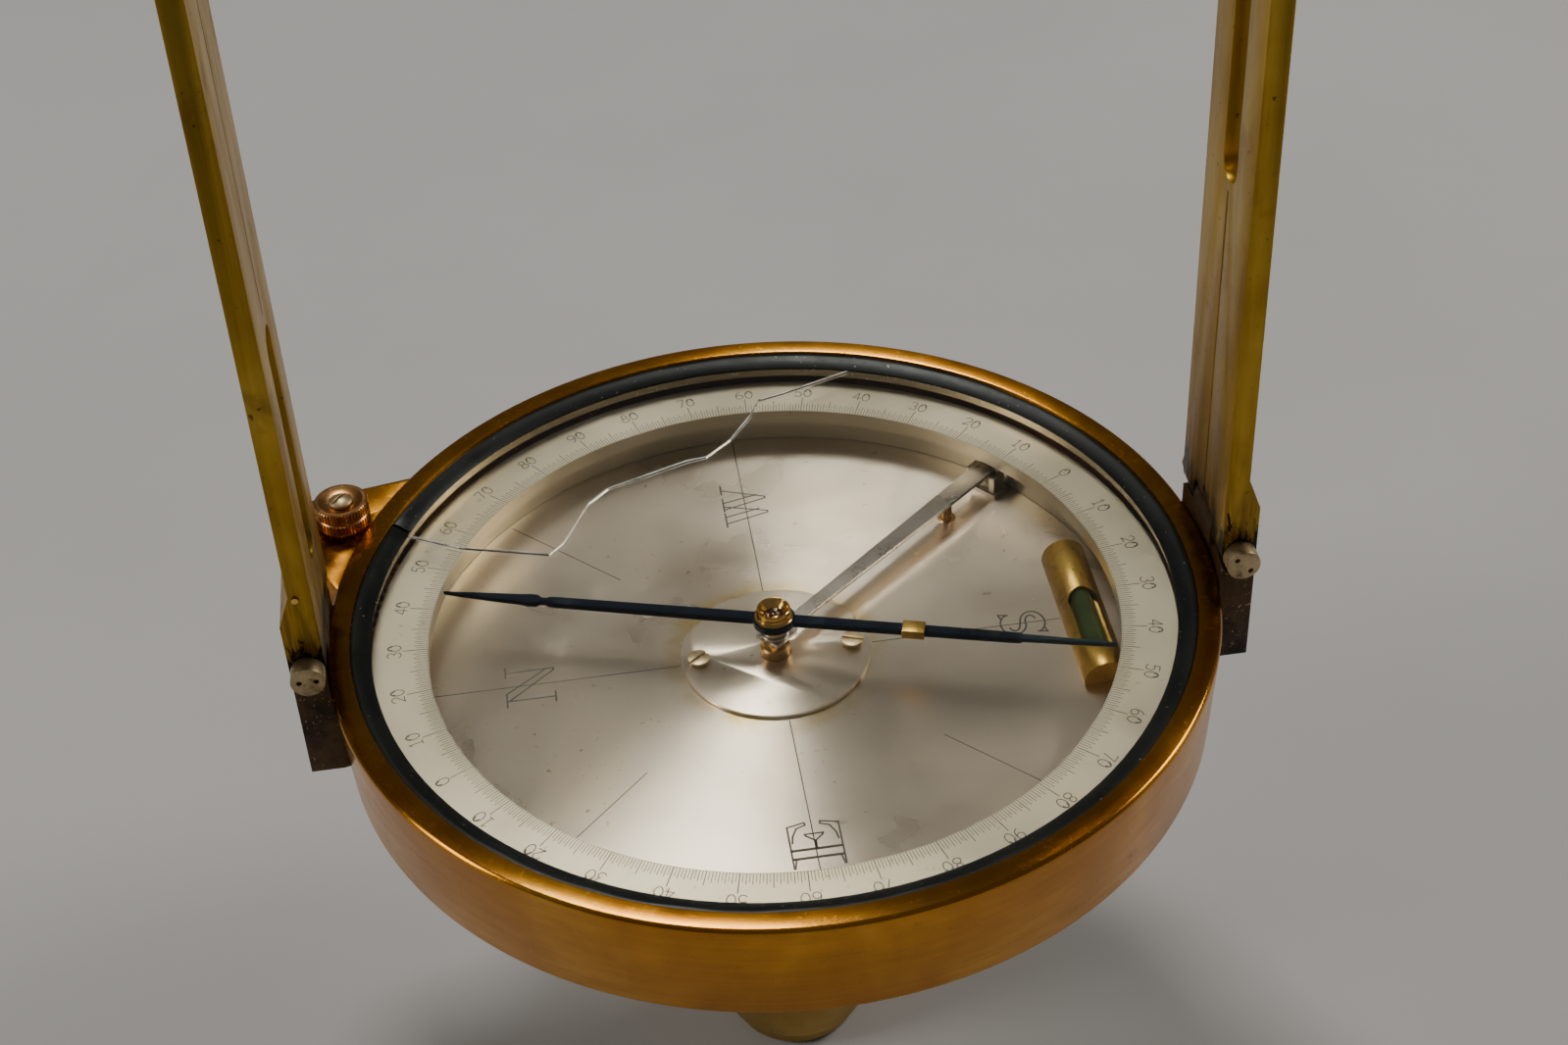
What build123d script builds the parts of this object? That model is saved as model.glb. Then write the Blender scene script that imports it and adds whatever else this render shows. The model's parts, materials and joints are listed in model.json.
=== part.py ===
from build123d import *
import os
from math import sin, cos, tan, pi, radians, degrees, sqrt, atan2, acos

os.makedirs("parts", exist_ok=True)

# ---------------------------------------------------------------- dimensions
# A surveyor's declination compass: a round brass box on a spindle socket, with
# two folding sights.  Millimetres, +Z up.  X is the line of sight (north at -X,
# south at +X), +Y is the side of the card's W.  The origin is the centre of the
# spindle socket's mouth.
H = 112.0                 # height of the rim's top face above the socket mouth

R_RIM = 81.5              # outer radius of the rim
R_WALL = 80.4             # outer radius of the box wall at its foot
R_SEAT = 77.2             # bore that takes the glass and its spring ring
R_BORE = 78.9             # bore that the declination circle turns in
R_LIP = 74.3              # inner radius of the lip under the glass
Z_GLASS_TOP = -1.95
Z_GLASS_BOT = -3.15
Z_LIP_BOT = -4.7
Z_BASE_TOP = -18.2
Z_BOX_BOT = -21.2

R_RING_IN = 63.8          # graduated circle, inner edge
Z_RING_TOP = -6.0
Z_DIAL = -15.2            # top of the dial plate
T_DIAL = 1.2
R_HUB_DISC = 17.75

MOD = 0.8                 # module of the declination rack
N_RING = 194
N_PINION = 22
ANG_PINION = 154.6        # bearing of the pinion about the box centre, degrees
C_PINION = MOD * (N_RING + N_PINION) / 2.0      # 86.4 centre distance

X_PIN = 83.4              # sight hinge axis
Z_PIN = 7.5
R_KNUCKLE = 3.2
W_SIGHT = 26.4            # width of a sight across the line of sight
T_SIGHT = 4.05
L_SIGHT = 137.5           # hinge axis to the tip of a sight
R_PIN = 1.6

R_SOCKET = 12.75          # spindle socket tube
R_SOCKET_BORE = 9.0
L_SOCKET_BORE = 75.0
R_COLLAR = 14.65

LIFT = 0.45               # how far the lever raises the needle
ANG_LEVER = 41.0
R_FULCRUM = 64.0
R_LIFT_SCREW = 51.5
Z_FUL = -11.75


def Z(z):
    """height given from the rim's top face -> height in the part's frame"""
    return z + H


def polar(r, a):
    return (r * cos(radians(a)), r * sin(radians(a)))


def rev(pts):
    """solid of revolution about Z from a closed (radius, height) outline"""
    with BuildPart() as p:
        with BuildSketch(Plane.XZ):
            with BuildLine():
                Polyline(*[(r, Z(z)) for r, z in pts], close=True)
            make_face()
        revolve(axis=Axis.Z)
    return p.part


def cyl(r, z0, z1, x=0.0, y=0.0):
    return Pos(x, y, Z((z0 + z1) / 2.0)) * Cylinder(r, abs(z1 - z0))


def box(x0, x1, y0, y1, z0, z1):
    return Pos((x0 + x1) / 2, (y0 + y1) / 2, Z((z0 + z1) / 2)) * Box(abs(x1 - x0), abs(y1 - y0), abs(z1 - z0))


def prism(pts, z0, z1):
    """closed XY polygon raised from z0 to z1"""
    with BuildPart() as p:
        with BuildSketch(Plane.XY.offset(Z(z0))):
            with BuildLine():
                Polyline(*pts, close=True)
            make_face()
        extrude(amount=z1 - z0)
    return p.part


def prism_xz(pts, y0, y1):
    """closed XZ polygon (heights from the rim) carried from y0 to y1"""
    pl = Plane(origin=(0, y0, 0), x_dir=(1, 0, 0), z_dir=(0, -1, 0))
    with BuildPart() as p:
        with BuildSketch(pl):
            with BuildLine():
                Polyline(*[(x, Z(z)) for x, z in pts], close=True)
            make_face()
        extrude(amount=-(y1 - y0))
    return p.part


def ycyl(r, y0, y1, x, z):
    return Pos(x, (y0 + y1) / 2, Z(z)) * Rot(90, 0, 0) * Cylinder(r, abs(y1 - y0))


def slotted(head, x, y, z_top, width, depth, angle=0.0, length=20.0):
    """cut a screwdriver slot in a head whose top is at z_top"""
    return head - Pos(x, y, Z(z_top)) * Rot(0, 0, angle) * Box(length, width, 2 * depth)


def solid_of(shape):
    s = shape.solids()
    return s[0] if len(s) == 1 else Compound(children=list(s))


NODES = {}


def put(name, shape):
    NODES[name] = shape


# ------------------------------------------------------------------ box
wall = rev([(R_RIM - 0.7, 0), (R_RIM, -0.7), (R_WALL, Z_BOX_BOT + 0.5), (R_WALL - 0.5, Z_BOX_BOT),
            (R_BORE, Z_BOX_BOT), (R_BORE, Z_LIP_BOT), (R_LIP, Z_LIP_BOT), (R_LIP, Z_GLASS_BOT),
            (R_SEAT, Z_GLASS_BOT), (R_SEAT, -0.3), (R_SEAT + 0.3, 0)])
px, py = polar(C_PINION, ANG_PINION)
wall = wall - cyl(10.0, -15.2, -12.6, px, py)          # window for the pinion
put("box_wall", wall)

wall_envelope = rev([(0, 0.5), (R_RIM, 0.5), (R_RIM, -0.7), (R_WALL, Z_BOX_BOT + 0.5), (R_WALL, Z_BOX_BOT - 1), (0, Z_BOX_BOT - 1)])

base = rev([(0, Z_BOX_BOT), (R_BORE - 0.4, Z_BOX_BOT), (R_BORE - 0.1, Z_BOX_BOT + 0.3),
            (R_BORE - 0.1, Z_DIAL - T_DIAL), (72.0, Z_DIAL - T_DIAL), (72.0, Z_BASE_TOP), (0, Z_BASE_TOP)])
lx, ly = polar(R_LIFT_SCREW, ANG_LEVER)
base = base - cyl(1.85, Z_BOX_BOT - 1, -17, lx, ly)
for k in range(4):
    fx, fy = polar(18.6, 45 + 90 * k)
    base = base - cyl(1.25, Z_BOX_BOT - 1, Z_BOX_BOT + 2.2, fx, fy)
put("base_plate", base)

# spring ring that holds the glass down, split at one place
ring = rev([(73.7, -1.75), (76.2, -0.55), (77.15, -0.5), (77.15, Z_GLASS_TOP), (73.7, Z_GLASS_TOP)])
ring = ring - Pos(0, 0, Z(-1)) * Rot(0, 0, 153.3) * Pos(75.5, 0, 0) * Box(8, 0.55, 5)
put("retaining_ring", ring)

# glass, broken across into two pieces that still lie in their seat
crack = [(-73.5, 36.8), (-66.5, 32.9), (-56.7, 27.4), (-39.8, 22.1), (-36.8, 25.1), (-31.2, 36.1), (-27.1, 40.0),
         (-23.1, 41.4), (-11.0, 45.8), (-7.0, 46.3), (-1.6, 51.1), (3.4, 58.4), (5.6, 63.1),
         (11.3, 64.7), (25.2, 69.6), (33.0, 72.4)]
glass = cyl(R_SEAT - 0.15, Z_GLASS_BOT, Z_GLASS_TOP)
far = prism(crack + [(40, 100), (-100, 100), (-100, 50)], -6, 0)
near_cut = prism([(x, y - 0.06) for x, y in crack] + [(40, 100), (-100, 100), (-100, 50)], -6, 0)
put("glass_fragment", glass & far)
put("glass_main", glass - near_cut)

# dial plate with the hole for the pivot post, the lifter screw and one spare hole
dial = cyl(R_BORE - 0.3, Z_DIAL - T_DIAL, Z_DIAL)
dial = dial - cyl(1.85, -18, -14, lx, ly) - cyl(0.9, -18, -14, 58.7, 20.2)
dial = dial - box(56.0, 61.2, -18.8, 16.9, Z_DIAL - 0.8, Z_DIAL + 1)      # pocket under the level vial
put("dial_plate", dial)
hub = rev([(2.95, Z_DIAL), (R_HUB_DISC, Z_DIAL), (R_HUB_DISC, Z_DIAL + 0.55), (R_HUB_DISC - 0.25, Z_DIAL + 0.8), (2.95, Z_DIAL + 0.8)])
hs = []
for s in (-1, 1):
    hub = hub - cyl(1.3, -18, -14, s * 14.5, 0)
    head = Pos(s * 14.5, 0, Z(Z_DIAL + 0.8)) * (Pos(0, 0, 0.45) * Cylinder(2.1, 0.9))
    head = slotted(head, s * 14.5, 0, Z_DIAL + 1.7, 0.5, 0.5, 35 if s < 0 else -20)
    shank = cyl(1.3, Z_DIAL, Z_DIAL + 0.8, s * 14.5, 0)
    hs.append((head + shank).solids()[0])
put("hub_disc", hub)
put("hub_screws", Compound(children=hs))

# pivot post and its hardened pin
put("pivot_post", rev([(0, Z_DIAL), (2.9, Z_DIAL), (2.9, -12.9), (2.5, -12.5), (1.6, -12.3), (1.25, -11.6), (0, -11.6)]))
put("pivot_pin", rev([(0, -11.6), (0.55, -11.6), (0.55, -7.4), (0.08, -6.45), (0, -6.45)]))

# spirit level: half-round housing, vial and end plugs
LX, LY0, LY1, LZ, LR, LA = 58.6, -18.9, 17.0, -13.5, 4.2, -14.6
tube = ycyl(LR, LY0, LY1, LX, LA) + box(LX - LR, LX + LR, LY0, LY1, Z_DIAL, LA)
tube = tube - ycyl(2.45, LY0 - 1, LY1 + 1, LX, LZ)
win = box(LX - 2.9, LX + 2.9, -11.1, 0.1, -13.0, -9.0) + cyl(2.9, -13.0, -9.0, LX, 0.1) + cyl(2.9, -13.0, -9.0, LX, -11.1)
tube = tube - win - box(LX - 6, LX + 6, LY0 - 1, LY1 + 1, Z_DIAL - 6, Z_DIAL)
put("level_tube", tube)
put("level_vial", ycyl(2.4, LY0 + 2.2, LY1 - 2.2, LX, LZ))
plugs = [(ycyl(2.4, LY0 + 0.2, LY0 + 2.0, LX, LZ)).solids()[0], (ycyl(2.4, LY1 - 2.0, LY1 - 0.2, LX, LZ)).solids()[0]]
put("level_end_plugs", Compound(children=plugs))

# ------------------------------------------------------------------ declination circle
def flank(rp, rb, r):
    """angle turned by the involute between its pitch radius and r"""
    def inv(x):
        a = acos(min(1.0, rb / x))
        return tan(a) - a
    return inv(rp) - inv(max(r, rb))


def tooth(n, centre_deg, add, ded, thick):
    """outline of one tooth, root to root, as (radius, angle in degrees)"""
    rp = MOD * n / 2.0
    rb = rp * cos(radians(20))
    half = thick / 2.0 / rp
    rr, rt = rp - ded, rp + add
    rs = [max(rr, rb * 1.0005) + (rt - max(rr, rb * 1.0005)) * k / 4.0 for k in range(5)]
    left = [(r, centre_deg - degrees(half + flank(rp, rb, r))) for r in rs]
    right = [(r, centre_deg + degrees(half + flank(rp, rb, r))) for r in reversed(rs)]
    out = []
    if rr < rs[0] - 1e-6:
        out.append((rr, left[0][1]))
    out += left + right
    if rr < rs[0] - 1e-6:
        out.append((rr, right[-1][1]))
    return out


THICK = MOD * pi / 2 - 0.25
ADD, DED = 0.8 * MOD, 1.15 * MOD
ZG0, ZG1 = -15.1, -13.1                 # toothed flange
rp_ring = MOD * N_RING / 2.0
r_root = rp_ring - DED
N_LO, N_HI = -5, 34        # rack teeth counted from the pinion, at rest
pts = []
step = 360.0 / N_RING
for k in range(N_LO, N_HI + 1):
    for r, a in tooth(N_RING, ANG_PINION + k * step, ADD, DED, THICK):
        pts.append(polar(r, a))
a0 = ANG_PINION + (N_LO - 0.5) * step
a1 = ANG_PINION + (N_HI + 0.5) * step
sector = [polar(60.0, a1 - (a1 - a0) * k / 12.0) for k in range(13)]
rack = prism([polar(r_root, a0)] + pts + [polar(r_root, a1)] + sector, ZG0, ZG1)
guide = rev([(70.0, ZG0), (R_BORE - 0.3, ZG0), (R_BORE - 0.3, ZG1), (70.0, ZG1)])
cutter = prism([(0, 0)] + [polar(120.0, a0 + (a1 - a0) * k / 12.0) for k in range(13)], ZG0 - 1, ZG1 + 1)
body = rev([(R_RING_IN, Z_RING_TOP), (R_RING_IN, Z_RING_TOP - 3.0), (67.0, Z_RING_TOP - 3.4), (67.0, ZG0), (r_root - 0.5, ZG0), (r_root - 0.5, ZG1), (74.0, ZG1 + 0.3), (74.0, Z_RING_TOP)])
circle = body + (guide - cutter) + (rack - cyl(70.0, -20, 0))
put("graduated_circle", circle)

pin_pts = []
stepp = 360.0 / N_PINION
for k in range(N_PINION):
    for r, a in tooth(N_PINION, ANG_PINION + 180 + (k + 0.5) * stepp, ADD, DED, THICK):
        x, y = polar(r, a)
        pin_pts.append((px + x, py + y))
pinion = prism(pin_pts, -15.0, -13.2) + cyl(1.8, -15.15, 0.2, px, py) + cyl(1.1, 0.2, 4.6, px, py)
put("pinion", pinion)

# pinion housing on the outside of the box wall, and its cover
R_HOUSE = 11.4
ta, tb = ANG_PINION - 13.0, ANG_PINION + 13.0
ux, uy = cos(radians(ANG_PINION)), sin(radians(ANG_PINION))
tx, ty = -uy, ux
hull = [polar(R_WALL - 3, ta), polar(R_WALL + 0.6, ta),
        (px + 3.0 * ux - 10.9 * tx, py + 3.0 * uy - 10.9 * ty), (px + 3.0 * ux + 10.9 * tx, py + 3.0 * uy + 10.9 * ty),
        polar(R_WALL + 0.6, tb), polar(R_WALL - 3, tb)]
house = prism(hull, -16.4, -1.4) + cyl(R_HOUSE, -16.4, -1.4, px, py)
house = house - wall_envelope
house = house - cyl(10.0, -16.5, -12.6, px, py) - cyl(1.85, -17, 0, px, py)
cover = cyl(9.95, -16.4, -15.3, px, py) - wall_envelope
cs = []
for s in (-1, 1):
    cx, cy = px + ux * 3.5 + tx * 6.5 * s, py + uy * 3.5 + ty * 6.5 * s
    cover = cover - cyl(0.85, -17, -15, cx, cy)
    hd = cyl(1.5, -17.0, -16.4, cx, cy) + cyl(0.85, -16.4, -15.3, cx, cy)
    hd = slotted(hd, cx, cy, -17.0, 0.4, 0.3, 20 * s)
    cs.append(hd.solids()[0])
put("pinion_housing", house)
put("housing_cover", cover)
put("cover_screws", Compound(children=cs))

# knob: two milled bands with a groove between, dished top, held by a slotted screw
knob = rev([(1.1, -0.4), (2.6, -0.4), (4.6, 0.0), (5.2, 0.25), (5.2, 2.3), (4.9, 2.45), (4.9, 2.75), (5.2, 2.9),
            (5.2, 4.9), (4.85, 5.2), (4.2, 5.2), (3.0, 4.5), (1.1, 4.5)])
knob = Pos(px, py, 0) * knob
knob = knob - cyl(1.85, -1, 0.2, px, py)
NK = 44
for k in range(NK):
    x, y = polar(5.28, k * 360.0 / NK)
    for z0, z1 in ((0.1, 2.35), (2.85, 5.05)):
        knob = knob - cyl(0.2, z0, z1, px + x, py + y)
put("declination_knob", knob)
sc = Pos(px, py, Z(4.6)) * (Cylinder(2.3, 0.6, align=(Align.CENTER, Align.CENTER, Align.MIN)))
dome = (Pos(px, py, Z(5.2 - 3.2)) * Sphere(3.9)) & cyl(2.3, 4.6, 6.2, px, py)
sc = slotted(dome, px, py, 5.95, 0.5, 0.7, 48)
put("knob_screw", solid_of(sc))

# ------------------------------------------------------------------ needle and lifter
na = 162.7
Z_BLADE = -5.9
hw = 1.05
blade = [(-63.2, 0), (-61.5, hw * 0.75), (-49.5, hw), (-48.4, 1.9), (-45.6, 1.9), (-44.4, hw), (0, hw * 1.2), (44.4, hw), (47.0, 0.75), (61.5, 0.6), (63.2, 0)]
blade = blade + [(x, -y) for x, y in reversed(blade[1:-1])]
nb = prism(blade, Z_BLADE - 1.2, Z_BLADE) + cyl(4.0, Z_BLADE - 1.2, Z_BLADE) - cyl(2.6, -9, -4)
nb = Rot(0, 0, na - 180) * nb
put("needle_blade", nb)
put("needle_hub", rev([(1.7, -8.7), (2.55, -8.7), (2.55, -5.9), (3.6, -5.9), (3.6, -5.5), (3.15, -5.0), (3.15, -3.75),
                       (3.0, -3.6), (2.8, -3.6), (2.5, -4.3), (1.7, -5.1)]))
put("needle_jewel", rev([(0, -6.35), (0.25, -6.4), (1.7, -6.4), (1.7, -5.2), (1.2, -5.35), (0.5, -4.95), (0, -4.85)]))
cw = box(23.9, 28.1, -1.6, 1.6, Z_BLADE - 1.5, Z_BLADE + 0.3) - box(20, 30, -hw * 1.2, hw * 1.2, Z_BLADE - 1.2, Z_BLADE)
put("needle_counterweight", Rot(0, 0, na - 180) * cw)
put("lifting_collar", rev([(1.35, -10.0), (2.7, -10.0), (2.7, -9.4), (2.2, -9.2), (2.2, -8.75), (1.35, -8.75)]))

lev = [(-2.3, -2.6), (-2.3, -1.0), (0.9, -1.0), (0.9, 1.0), (-2.3, 1.0), (-2.3, 2.6), (3.2, 2.6), (5.2, 1.3),
       (40.0, 1.75), (64.6, 2.05), (65.6, 1.2), (65.6, -1.2), (64.6, -2.05), (40.0, -1.75), (5.2, -1.3), (3.2, -2.6)]
lever = prism(lev, -10.9, -10.1)
eye = Pos(R_FULCRUM, 0, Z(Z_FUL)) * Rot(90, 0, 0) * Cylinder(1.25, 4.0)
eye = eye + box(R_FULCRUM - 1.25, R_FULCRUM + 1.25, -2.0, 2.0, Z_FUL, -10.85)
lever = lever + eye - Pos(R_FULCRUM, 0, Z(Z_FUL)) * Rot(90, 0, 0) * Cylinder(0.55, 6.0)
put("lifter_lever", Rot(0, 0, ANG_LEVER) * lever)
ful = box(R_FULCRUM - 2.2, R_FULCRUM + 2.2, -4.2, 4.2, Z_DIAL, Z_DIAL + 0.9)
for s in (-1, 1):
    ful = ful + box(R_FULCRUM - 1.6, R_FULCRUM + 1.6, s * 2.3, s * 3.5, Z_DIAL, -11.0)
ful = ful - Pos(R_FULCRUM, 0, Z(Z_FUL)) * Rot(90, 0, 0) * Cylinder(0.5, 10)
put("lever_fulcrum", Rot(0, 0, ANG_LEVER) * ful)
put("fulcrum_pin", Rot(0, 0, ANG_LEVER) * (Pos(R_FULCRUM, 0, Z(Z_FUL)) * Rot(90, 0, 0) * Cylinder(0.5, 7.2)))

ls = cyl(1.8, -22.0, -15.4, lx, ly) + Pos(lx, ly, 0) * rev([(0, -15.4), (1.1, -15.4), (1.1, -11.6), (0.7, -11.0), (0, -10.95)])
lk = Pos(lx, ly, 0) * rev([(0, -21.5), (6.2, -21.5), (7.2, -22.1), (7.2, -25.6), (6.8, -26.0), (0, -26.0)])
for k in range(36):
    x, y = polar(7.28, k * 10.0)
    lk = lk - cyl(0.28, -25.4, -22.3, lx + x, ly + y)
put("lifter_screw", ls + lk)

# ------------------------------------------------------------------ sights and their hinges
WH = W_SIGHT / 2.0
XI = X_PIN - R_KNUCKLE                     # inner face of a sight
Z_TIP = Z_PIN + L_SIGHT


def bracket(sign):
    b = prism_xz([(sign * 74, -15.6), (sign * (R_WALL + 0.4), -17.0), (sign * (X_PIN + R_KNUCKLE), -17.0), (sign * (X_PIN + R_KNUCKLE), 3.8),
                  (sign * 79.5, 3.8), (sign * 79.5, 0.5), (sign * 74, 0.5)], -WH, WH)
    b = b - wall_envelope - cyl(R_RIM + 0.05, 0, 5)
    kn = ycyl(R_KNUCKLE - 0.05, -5.6, 5.6, sign * X_PIN, Z_PIN)
    kn = kn + box(sign * (X_PIN - R_KNUCKLE + 0.05), sign * (X_PIN + R_KNUCKLE - 0.05), -5.6, 5.6, 3.0, Z_PIN)
    kn = kn - cyl(R_RIM + 0.05, -3, 3.8)
    b = b + kn
    b = b - ycyl(R_PIN, -20, 20, sign * X_PIN, Z_PIN)
    return b


def sight(sign, lower_slot):
    prof = [(XI, Z_PIN), (XI, Z_TIP - 1.0), (XI + 1.0, Z_TIP), (XI + T_SIGHT - 1.0, Z_TIP), (XI + T_SIGHT, Z_TIP - 1.0),
            (XI + T_SIGHT, 24.0), (X_PIN + R_KNUCKLE, 17.6), (X_PIN + R_KNUCKLE, Z_PIN)]
    s = prism_xz([(sign * x, z) for x, z in prof], -WH, WH) if sign > 0 else prism_xz([(sign * x, z) for x, z in reversed(prof)], -WH, WH)
    s = s + ycyl(R_KNUCKLE, -WH, WH, sign * X_PIN, Z_PIN)
    s = s - ycyl(R_KNUCKLE + 0.35, -5.9, 5.9, sign * X_PIN, Z_PIN)
    s = s - box(sign * (X_PIN - 6), sign * (X_PIN + 6), -5.9, 5.9, 0, Z_PIN)
    s = s - box(sign * (X_PIN - 6), sign * X_PIN, -5.9, 5.9, Z_PIN, Z_PIN + R_KNUCKLE + 0.35)     # clears the knuckle when folded
    s = s - ycyl(R_PIN + 0.05, -20, 20, sign * X_PIN, Z_PIN)
    # lower inner corners bevelled
    for q in (-1, 1):
        c = prism_xz([(sign * (XI - 1), 2), (sign * (XI + 1.2), 2), (sign * (XI - 1), 10)][::(1 if sign > 0 else -1)], min(q * 9, q * 14), max(q * 9, q * 14))
        s = s - c
    zm = 79.0
    ws = 7.6
    x0, x1 = sign * (XI - 3), sign * (XI + T_SIGHT + 4)
    if lower_slot:
        zs0, zs1 = 22.5, 70.5
        sl0, sl1 = 73.0, 138.0
    else:
        zs0, zs1 = 78.0, 138.5
        sl0, sl1 = 10.0, 76.0
    s = s - box(x0, x1, -ws / 2, ws / 2, zs0 + ws / 2, zs1 - ws / 2)
    for zz in (zs0 + ws / 2, zs1 - ws / 2):
        s = s - Pos(sign * (XI + 3), 0, Z(zz)) * Rot(0, 90, 0) * Cylinder(ws / 2, 14)
    s = s - box(x0, x1, -0.3, 0.3, sl0, sl1)
    return s


ns = sight(-1, True)
ss = sight(1, False)
peg_x, peg_z = -83.1, 23.4
ns = ns - ycyl(0.6, -WH - 1, -WH + 3.0, peg_x, peg_z)
put("north_sight", ns)
put("south_sight", ss)
put("north_sight_peg", ycyl(0.6, -WH - 0.3, -WH + 3.0, peg_x, peg_z))

bs = []
for sign, nm in ((-1, "north_bracket"), (1, "south_bracket")):
    b = bracket(sign)
    for y in (-7.0, 7.0):
        zc = -10.0
        hole = Pos(sign * 82.0, y, Z(zc)) * Rot(0, 90, 0) * Cylinder(1.3, 20)
        sink = Pos(sign * (X_PIN + R_KNUCKLE - 0.8), y, Z(zc)) * Rot(0, 90, 0) * Cylinder(2.3, 1.6 + 1e-3)
        b = b - hole - sink
        xi = 81.3
        sh = Pos(sign * (xi + X_PIN + R_KNUCKLE - 1.6) / 2, y, Z(zc)) * Rot(0, 90, 0) * Cylinder(1.3, X_PIN + R_KNUCKLE - 1.6 - xi)
        hd = Pos(sign * (X_PIN + R_KNUCKLE - 0.8), y, Z(zc)) * Rot(0, 90, 0) * Cylinder(2.25, 1.6)
        hd = hd - Pos(sign * (X_PIN + R_KNUCKLE), y, Z(zc)) * Rot(25 * y, 0, 0) * Box(1.2, 0.5, 8)
        bs.append((sh + hd).solids()[0])
    put(nm, b)
put("bracket_screws", Compound(children=bs))

nuts = []
for sign, nm in ((-1, "north_hinge_pin"), (1, "south_hinge_pin")):
    p = ycyl(R_PIN, -WH - 0.15, WH + 2.2, sign * X_PIN, Z_PIN)
    head = ycyl(3.05, -WH - 3.5, -WH - 0.15, sign * X_PIN, Z_PIN)
    if sign > 0:
        head = head - ycyl(0.45, -WH - 4, -WH - 2.4, sign * X_PIN - 1.3, Z_PIN + 1.3) - ycyl(0.45, -WH - 4, -WH - 2.4, sign * X_PIN + 1.3, Z_PIN - 1.3)
    else:
        head = head - ycyl(0.45, -WH - 4, -WH - 2.4, sign * X_PIN - 1.5, Z_PIN) - ycyl(0.45, -WH - 4, -WH - 2.4, sign * X_PIN + 1.5, Z_PIN)
    put(nm, p + head)
    nut = ycyl(2.9, WH + 0.15, WH + 2.0, sign * X_PIN, Z_PIN) - ycyl(R_PIN, WH, WH + 5, sign * X_PIN, Z_PIN)
    nuts.append(nut.solids()[0])
put("hinge_pin_nuts", Compound(children=nuts))

# ------------------------------------------------------------------ spindle socket
ZM = -H                                   # mouth of the socket
sock = rev([(R_SOCKET_BORE, ZM), (R_SOCKET - 0.6, ZM), (R_SOCKET, ZM + 0.6), (R_SOCKET, Z_BOX_BOT - 7.0), (R_SOCKET + 1.6, Z_BOX_BOT - 4.6),
            (24.0, Z_BOX_BOT - 4.0), (24.0, Z_BOX_BOT), (0, Z_BOX_BOT), (0, ZM + L_SOCKET_BORE), (R_SOCKET_BORE, ZM + L_SOCKET_BORE)])
ZC = -103.0
sock = sock - Pos(0, 15, Z(ZC)) * Rot(90, 0, 0) * Cylinder(2.05, 16)
fs = []
for k in range(4):
    fx, fy = polar(18.6, 45 + 90 * k)
    sock = sock - cyl(1.25, Z_BOX_BOT - 6, Z_BOX_BOT + 1, fx, fy)
    hd = cyl(2.4, Z_BOX_BOT - 5.9, Z_BOX_BOT - 4.55, fx, fy)
    hd = hd + cyl(1.25, Z_BOX_BOT - 4.6, Z_BOX_BOT + 2.0, fx, fy)
    hd = slotted(hd, fx, fy, Z_BOX_BOT - 5.9, 0.6, 0.6, 30 * k + 10)
    fs.append(hd.solids()[0])
sock = sock - rev([(16.0, Z_BOX_BOT - 4.55), (21.2, Z_BOX_BOT - 4.55), (21.2, Z_BOX_BOT - 8), (16.0, Z_BOX_BOT - 8)])
put("spindle_socket", sock)
put("flange_screws", Compound(children=fs))
coll = rev([(R_SOCKET, -108.0), (R_COLLAR - 0.6, -108.0), (R_COLLAR, -107.4), (R_COLLAR, -98.6), (R_COLLAR - 0.6, -98.0), (R_SOCKET, -98.0)])
coll = coll - Pos(0, 15, Z(ZC)) * Rot(90, 0, 0) * Cylinder(2.05, 12)
put("socket_collar", coll)
cl = Pos(0, 0, Z(ZC)) * Rot(90, 0, 0) * (Pos(0, 0, -14.6) * Cylinder(2.0, 10.6))
ck = Pos(0, 20.4, Z(ZC)) * Rot(90, 0, 0) * Cylinder(6.2, 4.2)
neck = Pos(0, 17.0, Z(ZC)) * Rot(90, 0, 0) * Cylinder(3.2, 3.4)
for k in range(32):
    a = radians(k * 360.0 / 32)
    ck = ck - Pos(6.3 * cos(a), 20.4, Z(ZC) + 6.3 * sin(a)) * Rot(90, 0, 0) * Cylinder(0.28, 6)
put("clamp_screw", cl + ck + neck)

for name, shape in NODES.items():
    sols = list(shape.solids())
    if len(sols) > 1:
        shape = Compound(children=sols)
    elif len(sols) == 1:
        shape = sols[0]
    shape.label = name
    export_step(shape, os.path.join("parts", name + ".step"))
    print(name, len(sols), round(sum(s.volume for s in sols), 2))
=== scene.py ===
import bpy, bmesh, json, math, random
from math import sin, cos, pi, radians, sqrt
from mathutils import Matrix, Vector, noise


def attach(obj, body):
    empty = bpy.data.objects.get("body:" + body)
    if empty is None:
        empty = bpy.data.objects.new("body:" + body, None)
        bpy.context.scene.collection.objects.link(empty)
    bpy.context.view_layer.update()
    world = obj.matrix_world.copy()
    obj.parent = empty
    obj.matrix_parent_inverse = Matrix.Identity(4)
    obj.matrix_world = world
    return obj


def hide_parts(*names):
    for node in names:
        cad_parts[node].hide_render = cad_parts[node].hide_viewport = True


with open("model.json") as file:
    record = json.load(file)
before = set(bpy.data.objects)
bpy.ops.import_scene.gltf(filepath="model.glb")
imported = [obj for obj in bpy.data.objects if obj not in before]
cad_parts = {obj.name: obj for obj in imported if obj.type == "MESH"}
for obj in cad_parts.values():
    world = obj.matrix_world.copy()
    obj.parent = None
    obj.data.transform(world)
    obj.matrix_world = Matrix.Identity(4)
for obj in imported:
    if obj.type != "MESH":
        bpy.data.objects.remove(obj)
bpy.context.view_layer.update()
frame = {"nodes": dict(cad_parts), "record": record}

H = 112.0                       # rim's top above the socket mouth, mm
S = 0.001
NODES = frame["nodes"]
REC = frame["record"]
BODY = {n: b for b, ns in REC["behaviour"]["bodies"].items() for n in ns}
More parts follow.
